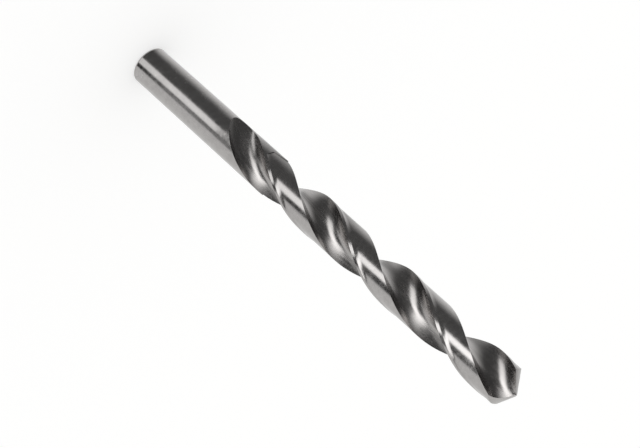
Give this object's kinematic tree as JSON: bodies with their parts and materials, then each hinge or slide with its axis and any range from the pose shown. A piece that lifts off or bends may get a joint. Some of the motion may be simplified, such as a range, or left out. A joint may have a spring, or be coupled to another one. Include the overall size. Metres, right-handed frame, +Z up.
{
  "type": "twist drill bit",
  "caption": "Straight-shank jobber twist drill: two right-hand helical flutes with narrow margins, a 118 degree point and a plain round shank.",
  "frame": {"origin": "centre of the flat shank end", "axes": "+Z runs up the drill's axis from the shank end to the point; the two cutting lips lie along X"},
  "size_m": [0.0112, 0.0112, 0.1397],
  "materials": {
    "ground_steel": "bright ground steel, satin lengthwise grind on the shank and lands, polished flutes"
  },
  "bodies": {
    "root": {"twist_drill": "ground_steel"}
  },
  "joints": []
}
